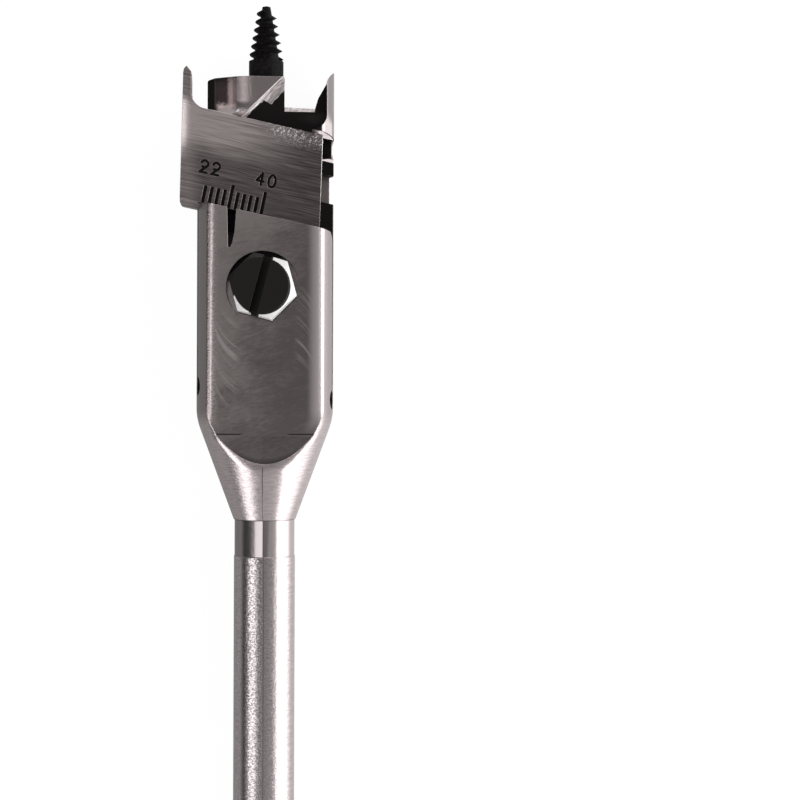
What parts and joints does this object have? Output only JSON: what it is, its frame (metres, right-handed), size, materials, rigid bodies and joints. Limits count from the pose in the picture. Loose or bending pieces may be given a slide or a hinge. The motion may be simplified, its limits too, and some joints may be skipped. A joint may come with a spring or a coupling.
{
  "type": "adjustable wood drill bit",
  "caption": "Adjustable flat wood bit: a round shank and a milled head with a feed screw, a scoring spur and a slanted sliding cutter held under a clamp bolt.",
  "frame": {"origin": "centre of the shank's end face", "axes": "+Y along the bit's axis towards the feed screw, +X to the right seen from the front, +Z out of the front flat"},
  "size_m": [0.0242, 0.1601, 0.0156],
  "materials": {
    "ground_steel": "turned and ground bright steel, with black scale left in the recesses",
    "black_screw_steel": "black oxide, satin",
    "cutter_steel": "surface-ground tool steel with lines along its length",
    "black_bolt_steel": "black oxide, glossy on its chamfers"
  },
  "bodies": {
    "body": {"bit_body": "ground_steel", "lead_screw": "black_screw_steel"},
    "cutter": {"sliding_cutter": "cutter_steel"},
    "bolt": {"clamp_bolt": "black_bolt_steel"}
  },
  "joints": [
    {"name": "cutter_slide", "type": "slide", "parent": "body", "child": "cutter", "axis": [-0.9789, 0.2045, 0], "range_m": [-0.0024, 0.0066]},
    {"name": "clamp_bolt_turn", "type": "hinge", "parent": "body", "child": "bolt", "pos_m": [-0.00035, 0.11487, 0.00627], "axis": [-0.0609, 0.1055, 0.9925], "range_deg": [0, 360]}
  ]
}
